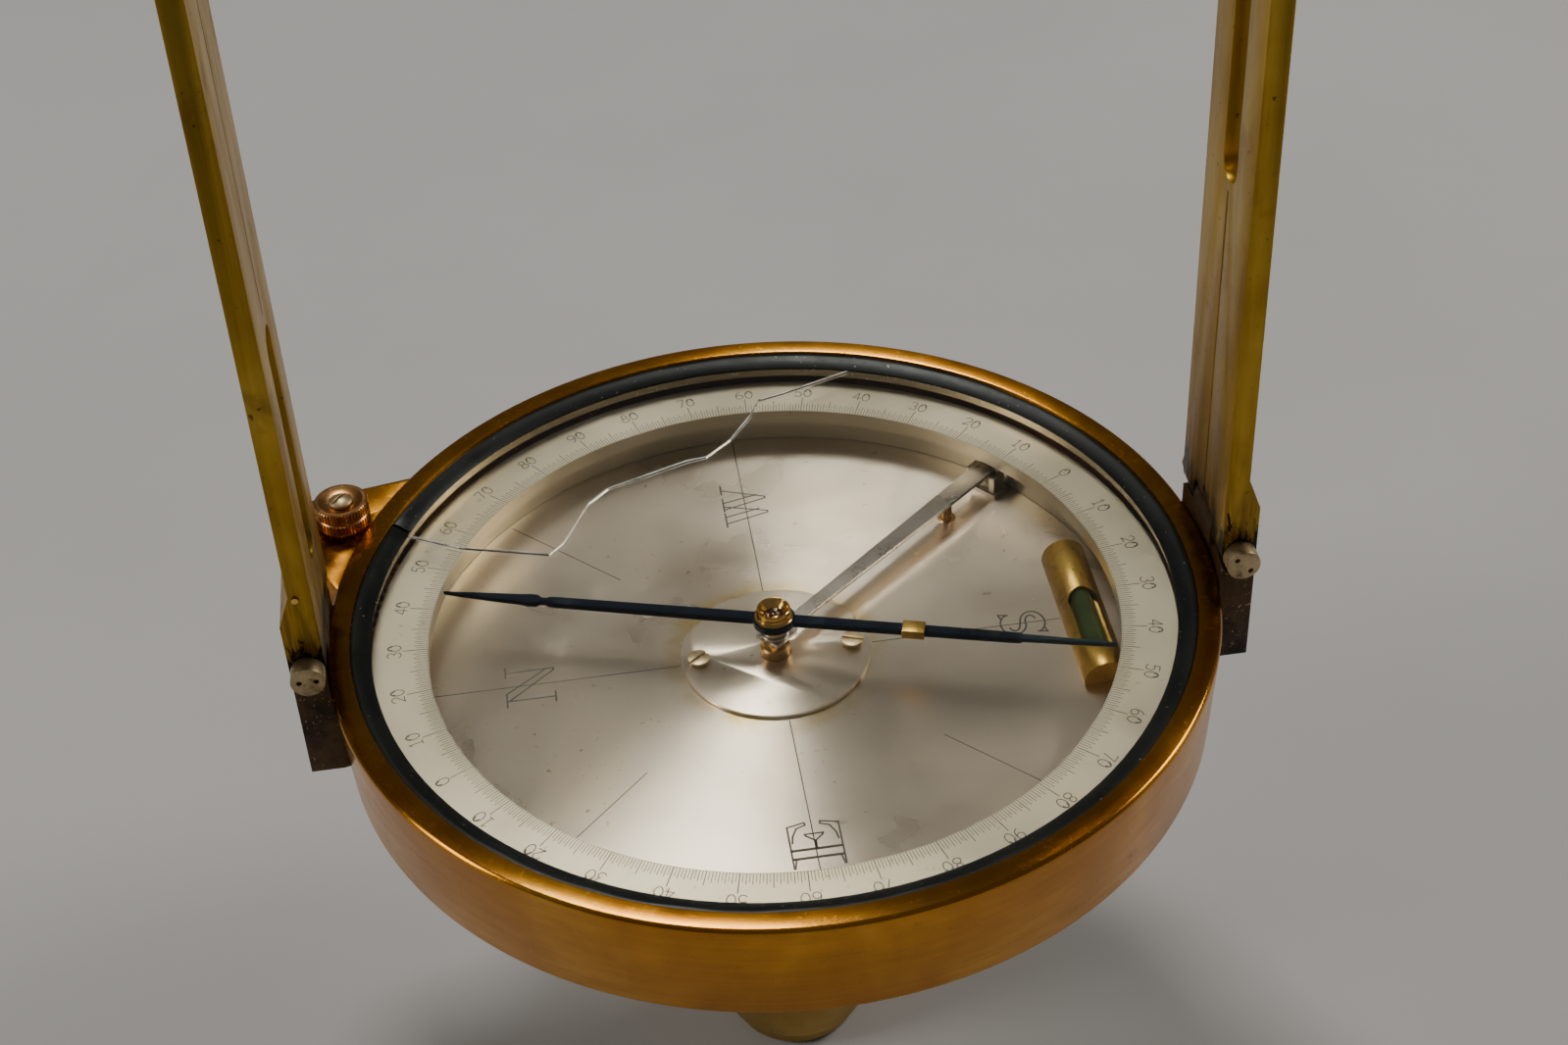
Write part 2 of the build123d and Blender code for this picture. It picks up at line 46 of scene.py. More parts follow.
SLOT = {s["node"]: s["material_slot"] for s in REC["subparts"]}


# ------------------------------------------------------------------ camera
cam_data = bpy.data.cameras.new("camera")
cam_data.sensor_fit = "HORIZONTAL"
cam_data.sensor_width = 36.0
cam_data.lens = 2544.35 / 1599 * 36.0
cam_data.clip_start = 0.01
cam = bpy.data.objects.new("camera", cam_data)
bpy.context.scene.collection.objects.link(cam)
R3 = Matrix(((0.989362, 0.120319, -0.081774), (-0.139222, 0.62002, -0.772135), (-0.042201, 0.775305, 0.630176)))
cam.matrix_world = Matrix.Translation((-0.033693, -0.345173, 0.410408)) @ R3.to_4x4()
bpy.context.scene.camera = cam


# ------------------------------------------------------------------ node helpers
class Tree:
    def __init__(self, name):
        self.mat = bpy.data.materials.new(name)
        self.mat.use_nodes = True
        self.nt = self.mat.node_tree
        self.nt.nodes.clear()
        self.out = self.nt.nodes.new("ShaderNodeOutputMaterial")
        self.p = self.nt.nodes.new("ShaderNodeBsdfPrincipled")
        self.nt.links.new(self.p.outputs[0], self.out.inputs[0])
        self.tc = None

    def new(self, kind, **kw):
        n = self.nt.nodes.new(kind)
        for k, v in kw.items():
            setattr(n, k, v)
        return n

    def link(self, a, b):
        self.nt.links.new(a, b)

    def coords(self):
        if self.tc is None:
            self.tc = self.new("ShaderNodeTexCoord")
        return self.tc.outputs["Object"]

    def val(self, sock, v):
        if hasattr(v, "is_linked") or isinstance(v, bpy.types.NodeSocket):
            self.link(v, sock)
        else:
            sock.default_value = v

    def math(self, op, a, b=0.0, c=0.0, clamp=False):
        n = self.new("ShaderNodeMath", operation=op, use_clamp=clamp)
        self.val(n.inputs[0], a)
        self.val(n.inputs[1], b)
        if len(n.inputs) > 2:
            self.val(n.inputs[2], c)
        return n.outputs[0]

    def sep(self, v):
        n = self.new("ShaderNodeSeparateXYZ")
        self.link(v, n.inputs[0])
        return n.outputs

    def comb(self, x, y, z):
        n = self.new("ShaderNodeCombineXYZ")
        for i, v in enumerate((x, y, z)):
            self.val(n.inputs[i], v)
        return n.outputs[0]

    def scale(self, v, s, off=(0, 0, 0)):
        n = self.new("ShaderNodeMapping")
        self.link(v, n.inputs["Vector"])
        n.inputs["Scale"].default_value = s
        n.inputs["Location"].default_value = off
        return n.outputs[0]

    def noise(self, v, scale, detail=4.0, rough=0.55, dist=0.0):
        n = self.new("ShaderNodeTexNoise")
        self.link(v, n.inputs["Vector"])
        n.inputs["Scale"].default_value = scale
        n.inputs["Detail"].default_value = detail
        n.inputs["Roughness"].default_value = rough
        n.inputs["Distortion"].default_value = dist
        return n.outputs["Fac"]

    def ramp(self, f, stops):
        n = self.new("ShaderNodeValToRGB")
        el = n.color_ramp.elements
        while len(el) > 1:
            el.remove(el[-1])
        el[0].position = stops[0][0]
        el[0].color = self.c4(stops[0][1])
        for pos, c in stops[1:]:
            e = el.new(pos)
            e.color = self.c4(c)
        self.link(f, n.inputs[0])
        return n.outputs["Color"]

    def maprange(self, f, a, b, c, d):
        n = self.new("ShaderNodeMapRange")
        n.clamp = True
        self.link(f, n.inputs[0])
        for i, v in enumerate((a, b, c, d)):
            n.inputs[i + 1].default_value = v
        return n.outputs[0]

    @staticmethod
    def c4(c):
        if isinstance(c, (int, float)):
            c = (c, c, c)
        return (c[0], c[1], c[2], 1.0)

    def mix(self, f, a, b, mode="MIX"):
        n = self.new("ShaderNodeMix", data_type="RGBA", blend_type=mode)
        self.val(n.inputs[0], f)
        for s, v in ((n.inputs[6], a), (n.inputs[7], b)):
            if isinstance(v, bpy.types.NodeSocket):
                self.link(v, s)
            else:
                s.default_value = self.c4(v)
        return n.outputs[2]

    def bump(self, height, strength, distance, normal=None):
        n = self.new("ShaderNodeBump")
        n.inputs["Strength"].default_value = strength
        n.inputs["Distance"].default_value = distance
        self.link(height, n.inputs["Height"])
        if normal is not None:
            self.link(normal, n.inputs["Normal"])
        return n.outputs[0]

    def radius(self, cx=0.0, cy=0.0, axis="Z"):
        x, y, z = self.sep(self.coords())
        if axis == "Z":
            a, b = self.math("SUBTRACT", x, cx), self.math("SUBTRACT", y, cy)
        elif axis == "Y":
            a, b = self.math("SUBTRACT", x, cx), self.math("SUBTRACT", z, cy)
        r2 = self.math("ADD", self.math("MULTIPLY", a, a), self.math("MULTIPLY", b, b))
        return self.math("SQRT", r2)


def brass(name, base, dark, pale, rough=(0.25, 0.42), grain="turned", centre=(0, 0), grain_f=2600.0, bump=0.12, aniso=0.6,
          patina=(0.10, 0.055, 0.02), patina_amt=(0.60, 0.75), patina_scale=60.0, metal=1.0, spots=0.0, spot_scale=400.0):
    """Lacquered or bare brass: turned or drawn grain, slow colour drift, patina patches, handling marks."""
    t = Tree(name)
    co = t.coords()
    x, y, z = t.sep(co)
    if grain == "turned":
        r = t.radius(*centre)
        g = t.comb(t.math("MULTIPLY", r, 1.0), t.math("MULTIPLY", z, 1.0), 0.0)
        gn = t.noise(g, grain_f, 3.0, 0.7)
        soft = t.noise(t.scale(co, (1, 1, 6)), 90.0, 3.0)
    elif grain == "long":
        g = t.scale(co, (1.0, 1.0, 0.02))
        gn = t.noise(g, grain_f, 3.0, 0.7)
        soft = t.noise(t.scale(co, (1, 1, 0.12)), 260.0, 4.0, 0.65)
    elif grain == "cross":
        g = t.scale(co, (1.0, 0.03, 1.0))
        gn = t.noise(g, grain_f, 3.0, 0.7)
        soft = t.noise(t.scale(co, (1, 0.2, 1)), 200.0, 4.0, 0.6)
    else:
        gn = t.noise(co, grain_f * 0.4, 3.0, 0.6)
        soft = t.noise(co, 160.0, 4.0)
    drift = t.noise(co, 28.0, 3.0, 0.6, 0.6)
    blot = t.noise(co, patina_scale, 6.0, 0.66, 0.4)
    col = t.ramp(drift, [(0.30, dark), (0.50, base), (0.72, pale)])
    col = t.mix(t.maprange(soft, 0.30, 0.70, 0.0, 0.55), col, tuple(c * 0.72 for c in base))
    col = t.mix(t.maprange(gn, 0.35, 0.65, 0.0, 0.22), col, pale)
    pm = t.maprange(blot, patina_amt[0], patina_amt[1], 0.0, 0.85)
    col = t.mix(pm, col, patina)
    if spots > 0:
        v = t.noise(co, spot_scale, 2.0, 0.5)
        sm = t.maprange(v, 0.70, 0.76, 0.0, spots)
        col = t.mix(sm, col, tuple(c * 0.35 for c in patina))
    t.link(col, t.p.inputs["Base Color"])
    t.p.inputs["Metallic"].default_value = metal
    rr = t.maprange(soft, 0.25, 0.75, rough[0], rough[1])
    rr = t.math("ADD", rr, t.math("MULTIPLY", pm, 0.18))
    fine = t.noise(co, 900.0, 4.0, 0.6)
    rr = t.math("ADD", rr, t.maprange(fine, 0.55, 0.75, 0.0, 0.08))
    t.link(rr, t.p.inputs["Roughness"])
    nrm = t.bump(gn, bump, 0.00006)
    nrm = t.bump(fine, bump * 0.5, 0.00005, nrm)
    t.link(nrm, t.p.inputs["Normal"])
    if aniso and grain == "turned":
        t.p.inputs["Anisotropic"].default_value = aniso
        t.p.inputs["Anisotropic Rotation"].default_value = 0.25
        tg = t.new("ShaderNodeTangent", direction_type="RADIAL", axis="Z")
        t.link(tg.outputs[0], t.p.inputs["Tangent"])
    return t


M = {}


def fin(name, tree):
    M[name] = tree.mat
    return tree.mat


# box wall: orange-brown lacquer over lathe-turned brass, dark stains by the brackets
t = brass("lacquered_brass", (0.60, 0.245, 0.016), (0.40, 0.135, 0.006), (0.84, 0.42, 0.050), rough=(0.17, 0.27), grain="turned",
          bump=0.16, aniso=0.86, patina=(0.10, 0.035, 0.010), patina_amt=(0.66, 0.82), patina_scale=42.0)
x, y, z = t.sep(t.coords())
ax = t.math("ABSOLUTE", x)
near = t.maprange(ax, 0.0755, 0.0815, 0.0, 1.0)
wob = t.noise(t.coords(), 150.0, 5.0, 0.7, 0.8)
stain = t.math("MULTIPLY", near, t.maprange(wob, 0.42, 0.62, 0.0, 0.85))
old = t.p.inputs["Base Color"].links[0].from_socket
col = t.mix(stain, old, (0.075, 0.022, 0.008))
col = t.mix(t.maprange(t.radius(), 0.0753, 0.0756, 0.85, 0.0), col, (0.50, 0.46, 0.36))
t.link(col, t.p.inputs["Base Color"])
t.p.inputs["Coat Weight"].default_value = 0.15
t.p.inputs["Coat Roughness"].default_value = 0.18
fin("lacquered_brass", t)

t = brass("blackened_ring", (0.012, 0.015, 0.013), (0.006, 0.008, 0.007), (0.028, 0.032, 0.028), rough=(0.30, 0.44), grain="turned", bump=0.25,
          aniso=0.35, patina=(0.09, 0.075, 0.045), patina_amt=(0.68, 0.8), patina_scale=120.0, metal=0.55)
v = t.noise(t.coords(), 1400.0, 2.0, 0.5)
m_ = t.maprange(v, 0.72, 0.76, 0.0, 0.8)
old = t.p.inputs["Base Color"].links[0].from_socket
t.link(t.mix(m_, old, (0.42, 0.38, 0.28)), t.p.inputs["Base Color"])
fin("blackened_ring", t)


def silver(name, base, dark, tint, hub=True, aniso=0.82, rough=(0.24, 0.34), conc=2200.0):
    """Silvered brass: fine concentric brushing that throws a fan of light, warm tarnish in patches, small brown spots."""
    t = Tree(name)
    co = t.coords()
    r = t.radius()
    g = t.comb(r, 0.0, 0.0)
    gn = t.noise(g, conc, 2.0, 0.75)
    x, y, z = t.sep(co)
    ang = t.math("ARCTAN2", y, x)
    slow = t.noise(co, 22.0, 4.0, 0.6, 0.5)
    col = t.ramp(slow, [(0.30, dark), (0.52, base), (0.75, tuple(min(1, c * 1.06) for c in base))])
    col = t.mix(t.maprange(gn, 0.35, 0.65, 0.0, 0.14), col, tuple(c * 0.80 for c in base))
    if hub:
        wob = t.math("MULTIPLY", t.math("SUBTRACT", t.noise(co, 190.0, 4.0, 0.7, 1.0), 0.5), 0.0060)
        rw = t.math("ADD", r, wob)
        a = t.maprange(rw, 0.0172, 0.0180, 0.0, 1.0)
        b = t.maprange(rw, 0.0186, 0.0222, 1.0, 0.0)
        h = t.math("MULTIPLY", a, b)
        lump = t.maprange(t.noise(co, 70.0, 3.0, 0.6), 0.42, 0.62, 0.1, 1.0)
        h = t.math("MULTIPLY", h, lump)
        col = t.mix(t.math("MULTIPLY", h, 0.9), col, (0.52, 0.38, 0.12))
    blot = t.noise(co, 40.0, 3.0, 0.5, 0.2)
    bm = t.maprange(blot, 0.50, 0.85, 0.0, 0.45)
    col = t.mix(bm, col, tint)
    sp = t.noise(co, 620.0, 2.0, 0.5)
    clump = t.maprange(t.noise(co, 38.0, 2.0), 0.50, 0.66, 0.0, 1.0)
    sm = t.math("MULTIPLY", t.maprange(sp, 0.66, 0.72, 0.0, 0.8), clump)
    col = t.mix(sm, col, (0.30, 0.20, 0.09))
    t.link(col, t.p.inputs["Base Color"])
    t.p.inputs["Metallic"].default_value = 1.0
    rr = t.maprange(slow, 0.3, 0.7, rough[0], rough[1])
    rr = t.math("ADD", rr, t.math("MULTIPLY", bm, 0.12))
    t.link(rr, t.p.inputs["Roughness"])
    sc = t.noise(t.scale(co, (1, 6, 1)), 900.0, 4.0, 0.7)
    nrm = t.bump(gn, 0.10, 0.00004)
    nrm = t.bump(sc, 0.05, 0.00003, nrm)
    t.link(nrm, t.p.inputs["Normal"])
    t.p.inputs["Anisotropic"].default_value = aniso
    t.p.inputs["Anisotropic Rotation"].default_value = 0.25
    tg = t.new("ShaderNodeTangent", direction_type="RADIAL", axis="Z")
    t.link(tg.outputs[0], t.p.inputs["Tangent"])
    return t


fin("silvered_dial", silver("silvered_dial", (0.69, 0.595, 0.475), (0.56, 0.465, 0.35), (0.50, 0.38, 0.20)))
fin("silvered_circle", silver("silvered_circle", (0.52, 0.465, 0.345), (0.42, 0.37, 0.26), (0.40, 0.31, 0.16), hub=False, aniso=0.35, rough=(0.36, 0.46)))
fin("brass_fittings", brass("brass_fittings", (0.60, 0.36, 0.13), (0.42, 0.23, 0.07), (0.76, 0.50, 0.22), rough=(0.22, 0.36), grain="none", bump=0.12,
                            patina=(0.12, 0.055, 0.02), patina_amt=(0.62, 0.78), patina_scale=260.0))
fin("polished_brass", brass("polished_brass", (0.82, 0.52, 0.13), (0.62, 0.35, 0.06), (0.95, 0.68, 0.27), rough=(0.08, 0.18), grain="none", bump=0.05,
                            patina=(0.35, 0.18, 0.05), patina_amt=(0.66, 0.82), patina_scale=420.0))
fin("copper_brass", brass("copper_brass", (0.60, 0.29, 0.10), (0.38, 0.15, 0.045), (0.80, 0.46, 0.20), rough=(0.20, 0.34), grain="none", bump=0.10,
                          patina=(0.16, 0.06, 0.02), patina_amt=(0.58, 0.74), patina_scale=380.0))
fin("pin_brass", brass("pin_brass", (0.52, 0.40, 0.22), (0.36, 0.26, 0.13), (0.70, 0.57, 0.36), rough=(0.34, 0.5), grain="cross", bump=0.22,
                       patina=(0.13, 0.085, 0.04), patina_amt=(0.52, 0.70), patina_scale=420.0))
fin("aged_brass", brass("aged_brass", (0.40, 0.24, 0.045), (0.25, 0.135, 0.018), (0.62, 0.41, 0.10), rough=(0.24, 0.40), grain="cross", bump=0.14,
                        patina=(0.10, 0.06, 0.02), patina_amt=(0.50, 0.72), patina_scale=180.0, spots=0.6, spot_scale=900.0))
fin("socket_brass", brass("socket_brass", (0.52, 0.34, 0.10), (0.36, 0.21, 0.05), (0.68, 0.47, 0.17), rough=(0.24, 0.38), grain="turned", bump=0.16, aniso=0.5,
                          patina=(0.13, 0.07, 0.02), patina_amt=(0.62, 0.80), patina_scale=70.0))

# sights: yellow ochre lacquered brass with long grain, dark at the foot and in streaks
t = brass("sight_brass", (0.47, 0.275, 0.022), (0.32, 0.170, 0.010), (0.62, 0.40, 0.055), rough=(0.30, 0.46), grain="long", grain_f=1700.0, bump=0.3, aniso=0.0,
          patina=(0.17, 0.085, 0.018), patina_amt=(0.57, 0.76), patina_scale=36.0, spots=0.7, spot_scale=700.0)
x, y, z = t.sep(t.coords())
streak = t.noise(t.scale(t.coords(), (1.0, 1.0, 0.10)), 420.0, 5.0, 0.7, 0.5)
foot = t.maprange(z, 0.1185, 0.150, 1.0, 0.0)
sm = t.math("MULTIPLY", foot, t.maprange(streak, 0.42, 0.56, 0.0, 0.9))
gen = t.maprange(streak, 0.60, 0.74, 0.0, 0.5)
sm = t.math("MAXIMUM", sm, gen)
old = t.p.inputs["Base Color"].links[0].from_socket
col = t.mix(sm, old, (0.10, 0.050, 0.013))
jag = t.noise(t.scale(t.coords(), (1.0, 1.0, 0.35)), 330.0, 5.0, 0.75, 0.6)
low = t.maprange(z, 0.119, 0.136, 1.0, 0.0)
lac = t.maprange(t.math("ADD", jag, t.math("MULTIPLY", low, 0.42)), 0.80, 0.83, 0.0, 0.95)
col = t.mix(lac, col, (0.012, 0.011, 0.009))
t.link(col, t.p.inputs["Base Color"])
t.p.inputs["Coat Weight"].default_value = 0.04
t.p.inputs["Coat Roughness"].default_value = 0.25
fin("sight_brass", t)

# black lacquer left on the inner foot of the sights and on the brackets
t = brass("dark_bracket", (0.085, 0.048, 0.022), (0.045, 0.026, 0.014), (0.16, 0.09, 0.04), rough=(0.36, 0.55), grain="long", grain_f=1500.0, bump=0.3, aniso=0.0,
          patina=(0.020, 0.017, 0.014), patina_amt=(0.50, 0.66), patina_scale=90.0, metal=0.75)
v = t.noise(t.coords(), 1500.0, 3.0, 0.6)
reg = t.maprange(t.noise(t.coords(), 110.0, 3.0), 0.45, 0.60, 0.0, 1.0)
m_ = t.math("MULTIPLY", t.maprange(v, 0.62, 0.68, 0.0, 0.9), reg)
old = t.p.inputs["Base Color"].links[0].from_socket
t.link(t.mix(m_, old, (0.52, 0.40, 0.22)), t.p.inputs["Base Color"])
fin("dark_bracket", t)

t = brass("bright_steel", (0.55, 0.50, 0.44), (0.43, 0.385, 0.33), (0.68, 0.64, 0.58), rough=(0.24, 0.34), grain="none", bump=0.08,
          patina=(0.44, 0.37, 0.29), patina_amt=(0.50, 0.90), patina_scale=120.0)
fin("bright_steel", t)

t = brass("blued_steel", (0.0060, 0.0110, 0.0220), (0.0030, 0.0055, 0.0120), (0.012, 0.022, 0.040), rough=(0.24, 0.36), grain="none", bump=0.10,
          patina=(0.035, 0.040, 0.045), patina_amt=(0.58, 0.74), patina_scale=150.0)
x, y, z = t.sep(t.coords())
worn = t.math("MULTIPLY", t.maprange(x, 0.0425, 0.0440, 0.0, 1.0), t.maprange(t.noise(t.coords(), 300.0, 4.0), 0.30, 0.60, 0.45, 1.0))
old = t.p.inputs["Base Color"].links[0].from_socket
t.link(t.mix(worn, old, (0.040, 0.062, 0.072)), t.p.inputs["Base Color"])
fin("blued_steel", t)


def glassy(name, color, rough=0.0, ior=1.50, dust=0.02):
    t = Tree(name)
    t.p.inputs["Base Color"].default_value = (*color, 1)
    t.p.inputs["Transmission Weight"].default_value = 1.0
    t.p.inputs["IOR"].default_value = ior
    n = t.noise(t.coords(), 500.0, 5.0, 0.7)
    r = t.maprange(n, 0.62, 0.80, rough, rough + dust)
    t.link(r, t.p.inputs["Roughness"])
    nb = t.noise(t.coords(), 9.0, 2.0, 0.5)
    t.link(t.bump(nb, 0.02, 0.0004), t.p.inputs["Normal"])
    tr = t.new("ShaderNodeBsdfTransparent")
    tr.inputs[0].default_value = (*(0.5 + 0.5 * c for c in color), 1)
    lp = t.new("ShaderNodeLightPath")
    mx = t.new("ShaderNodeMixShader")
    t.link(lp.outputs["Is Shadow Ray"], mx.inputs[0])
    t.link(t.p.outputs[0], mx.inputs[1])
    t.link(tr.outputs[0], mx.inputs[2])
    t.link(mx.outputs[0], t.out.inputs[0])
    return t


fin("glass", glassy("glass", (0.975, 0.99, 0.975)))
fin("jewel", glassy("jewel", (0.95, 0.62, 0.22), 0.02, 1.55))

# vial: green spirit, darker in the depth, with a slow colour shift
t = Tree("vial_glass")
co = t.coords()
n = t.noise(co, 180.0, 3.0)
x, y, z = t.sep(co)
t.link(t.ramp(n, [(0.3, (0.012, 0.022, 0.006)), (0.6, (0.028, 0.042, 0.010)), (0.8, (0.05, 0.065, 0.018))]), t.p.inputs["Base Color"])
t.p.inputs["Roughness"].default_value = 0.06
t.p.inputs["Coat Weight"].default_value = 1.0
t.p.inputs["Coat Roughness"].default_value = 0.03
t.link(t.bump(t.noise(co, 400.0, 3.0), 0.04, 0.0001), t.p.inputs["Normal"])
fin("vial_glass", t)

# wax in the engraving
t = Tree("engraving")
n = t.noise(t.coords(), 700.0, 4.0, 0.7)
t.link(t.ramp(n, [(0.30, (0.030, 0.025, 0.015)), (0.55, (0.060, 0.050, 0.032)), (0.75, (0.12, 0.10, 0.07))]), t.p.inputs["Base Color"])
t.link(t.maprange(n, 0.3, 0.7, 0.5, 0.75), t.p.inputs["Roughness"])
t.p.inputs["Metallic"].default_value = 0.3
t.link(t.bump(n, 0.2, 0.00005), t.p.inputs["Normal"])
fin("engraving", t)

# painted highlight: near-white colour for the crack strips, standing for light caught on the fracture face
t = Tree("crack_painted_highlight")
n = t.noise(t.coords(), 130.0, 4.0, 0.7, 0.5)
t.link(t.ramp(n, [(0.3, (0.62, 0.64, 0.58)), (0.7, (0.95, 0.96, 0.92))]), t.p.inputs["Base Color"])
t.link(t.maprange(n, 0.3, 0.7, 0.10, 0.30), t.p.inputs["Roughness"])
t.link(t.maprange(n, 0.36, 0.62, 0.22, 0.95), t.p.inputs["Alpha"])
t.link(t.bump(n, 0.3, 0.0002), t.p.inputs["Normal"])
fin("crack_painted_highlight", t)

t = Tree("floor_paint")
n = t.noise(t.coords(), 6.0, 4.0)
t.link(t.ramp(n, [(0.3, (0.52, 0.52, 0.52)), (0.7, (0.56, 0.56, 0.56))]), t.p.inputs["Base Color"])
t.p.inputs["Roughness"].default_value = 0.8
t.link(t.bump(t.noise(t.coords(), 260.0, 3.0), 0.05, 0.0005), t.p.inputs["Normal"])
fin("floor_paint", t)

for n, o in NODES.items():
    m = M.get(SLOT[n], M["brass_fittings"])
    if n in ("declination_knob",):
        m = M["copper_brass"]
    if n in ("hub_screws", "knob_screw"):
        m = M["pin_brass"]
    if n in ("lever_fulcrum", "fulcrum_pin"):
        m = M["bright_steel"]
    o.data.materials.clear()
    o.data.materials.append(m)


# ------------------------------------------------------------------ mesh helpers
def obj_from(name, verts, faces, mat, body, smooth=False, replace=()):
    me = bpy.data.meshes.new(name)
    me.from_pydata([tuple(v) for v in verts], [], faces)
    me.update()
    o = bpy.data.objects.new(name, me)
    bpy.context.scene.collection.objects.link(o)
    me.materials.append(M[mat])
    if smooth:
        for p in me.polygons:
            p.use_smooth = True
    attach(o, body)
    if replace:
        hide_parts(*replace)
    return o


def apply_mods(o):
    dg = bpy.context.evaluated_depsgraph_get()
    me = bpy.data.meshes.new_from_object(o.evaluated_get(dg))
    o.modifiers.clear()
    o.data = me


def dress(node, bevel=0.25, segs=2, angle=35, mat=None, cut=None):
    """A CAD node's own shape with its edges broken as a file or a lathe leaves them."""
    src = NODES[node]
    me = src.data.copy()
    bm = bmesh.new()
    bm.from_mesh(me)
    bmesh.ops.remove_doubles(bm, verts=bm.verts, dist=2e-6)
    bmesh.ops.dissolve_limit(bm, angle_limit=radians(0.6), verts=bm.verts, edges=bm.edges)
    bm.to_mesh(me)
    bm.free()
    o = bpy.data.objects.new(node + "_finished", me)
    bpy.context.scene.collection.objects.link(o)
    me.materials.clear()
    me.materials.append(mat or src.data.materials[0])
    b = o.modifiers.new("b", "BEVEL")
    b.width = bevel * S
    b.segments = segs
    b.limit_method = "ANGLE"
    b.angle_limit = radians(angle)
    b.use_clamp_overlap = True
    b.harden_normals = False
    apply_mods(o)
    for p in o.data.polygons:
        p.use_smooth = True
    o.data.set_sharp_from_angle(angle=radians(32))
    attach(o, BODY[node])
    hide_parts(node)
    return o


def lathe(name, prof, mat, body, centre=(0, 0), segs=128, replace=(), sharp=32, knurl=None):
    """prof: closed (radius, height from rim) outline in mm.  knurl: (count, depth, z0, z1) for a milled edge; not
    used.
    """
    verts, faces = [], []
    n = len(prof)
    for i in range(segs):
        a = 2 * pi * i / segs
        for r, z in prof:
            rr = r
            verts.append(((centre[0] + rr * cos(a)) * S, (centre[1] + rr * sin(a)) * S, (z + H) * S))
    for i in range(segs):
        j = (i + 1) % segs
        for k in range(n):
            l = (k + 1) % n
            faces.append((i * n + k, j * n + k, j * n + l, i * n + l))
    me = bpy.data.meshes.new(name)
    me.from_pydata(verts, [], faces)
    bm = bmesh.new()
    bm.from_mesh(me)
    bmesh.ops.remove_doubles(bm, verts=bm.verts, dist=1e-7)
    bmesh.ops.dissolve_degenerate(bm, dist=1e-8, edges=bm.edges)
    bmesh.ops.recalc_face_normals(bm, faces=bm.faces)
    bm.to_mesh(me)
    bm.free()
    o = bpy.data.objects.new(name, me)
    bpy.context.scene.collection.objects.link(o)
    me.materials.append(M[mat])
    for p in me.polygons:
        p.use_smooth = True
    me.set_sharp_from_angle(angle=radians(sharp))
    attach(o, body)
    if replace:
        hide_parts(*replace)
    return o


class Strokes:
    """Engraved strokes: closed slivers of filled-in colour, a hair proud of the metal."""

    def __init__(self, z, depth=0.03, lift=0.012):
        self.v, self.f, self.z0, self.z1 = [], [], (z - depth + H) * S, (z + lift + H) * S

    def quad(self, a, b, c, d):
        k = len(self.v)
        for p in (a, b, c, d):
            self.v.append((p[0] * S, p[1] * S, self.z0))
        for p in (a, b, c, d):
            self.v.append((p[0] * S, p[1] * S, self.z1))
        self.f += [(k + 4, k + 5, k + 6, k + 7), (k + 3, k + 2, k + 1, k)]
        for i in range(4):
            j = (i + 1) % 4
            self.f.append((k + i, k + j, k + 4 + j, k + 4 + i))

    def line(self, pts, w):
        for (x0, y0), (x1, y1) in zip(pts, pts[1:]):
            dx, dy = x1 - x0, y1 - y0
            L = sqrt(dx * dx + dy * dy)
            if L < 1e-6:
                continue
            ux, uy = dx / L, dy / L
            e = w * 0.35
            nx, ny = -uy * w / 2, ux * w / 2
            ax_, ay_, bx, by = x0 - ux * e, y0 - uy * e, x1 + ux * e, y1 + uy * e
            self.quad((ax_ - nx, ay_ - ny), (bx - nx, by - ny), (bx + nx, by + ny), (ax_ + nx, ay_ + ny))

    def done(self, name, body, mat="engraving"):
        me = bpy.data.meshes.new(name)
        me.from_pydata(self.v, [], self.f)
        bm = bmesh.new()
        bm.from_mesh(me)
        bmesh.ops.recalc_face_normals(bm, faces=bm.faces)
        bm.to_mesh(me)
        bm.free()
        o = bpy.data.objects.new(name, me)
        bpy.context.scene.collection.objects.link(o)
        me.materials.append(M[mat])
        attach(o, body)
        return o


def arc(cx, cy, rx, ry, a0, a1, n=10):
    return [(cx + rx * cos(radians(a0 + (a1 - a0) * i / n)), cy + ry * sin(radians(a0 + (a1 - a0) * i / n))) for i in range(n + 1)]


DIGITS = {
    "0": [arc(0.30, 0.5, 0.30, 0.5, 0, 360, 16), arc(0.30, 0.5, 0.20, 0.47, 20, 160, 6), ],
    "1": [[(0.12, 0.80), (0.30, 1.0), (0.30, 0.0)], [(0.12, 0.0), (0.48, 0.0)]],
    "2": [arc(0.30, 0.72, 0.28, 0.28, 170, -20, 10) + [(0.05, 0.06), (0.10, 0.02)] + arc(0.30, 0.02, 0.20, 0.07, 160, 60, 4) + [(0.58, 0.08)]],
    "3": [arc(0.28, 0.75, 0.25, 0.25, 150, -80, 10) + arc(0.28, 0.25, 0.29, 0.26, 80, -155, 12)],
    "4": [[(0.44, 0.0), (0.44, 1.0), (0.0, 0.30), (0.62, 0.30)]],
    "5": [[(0.54, 1.0), (0.12, 1.0), (0.07, 0.56)] + arc(0.28, 0.32, 0.29, 0.32, 125, -150, 12)],
    "6": [arc(0.46, 0.42, 0.45, 0.56, 105, 175, 6) + arc(0.29, 0.28, 0.28, 0.28, 180, 540, 14)],
    "7": [[(0.02, 0.90), (0.04, 1.0), (0.56, 1.0), (0.22, 0.0)]],
    "8": [arc(0.29, 0.75, 0.22, 0.24, 0, 360, 12), arc(0.29, 0.26, 0.28, 0.26, 0, 360, 12)],
    "9": [arc(0.29, 0.71, 0.28, 0.28, 0, 360, 14), arc(0.10, 0.60, 0.47, 0.60, 5, -75, 7)],
}

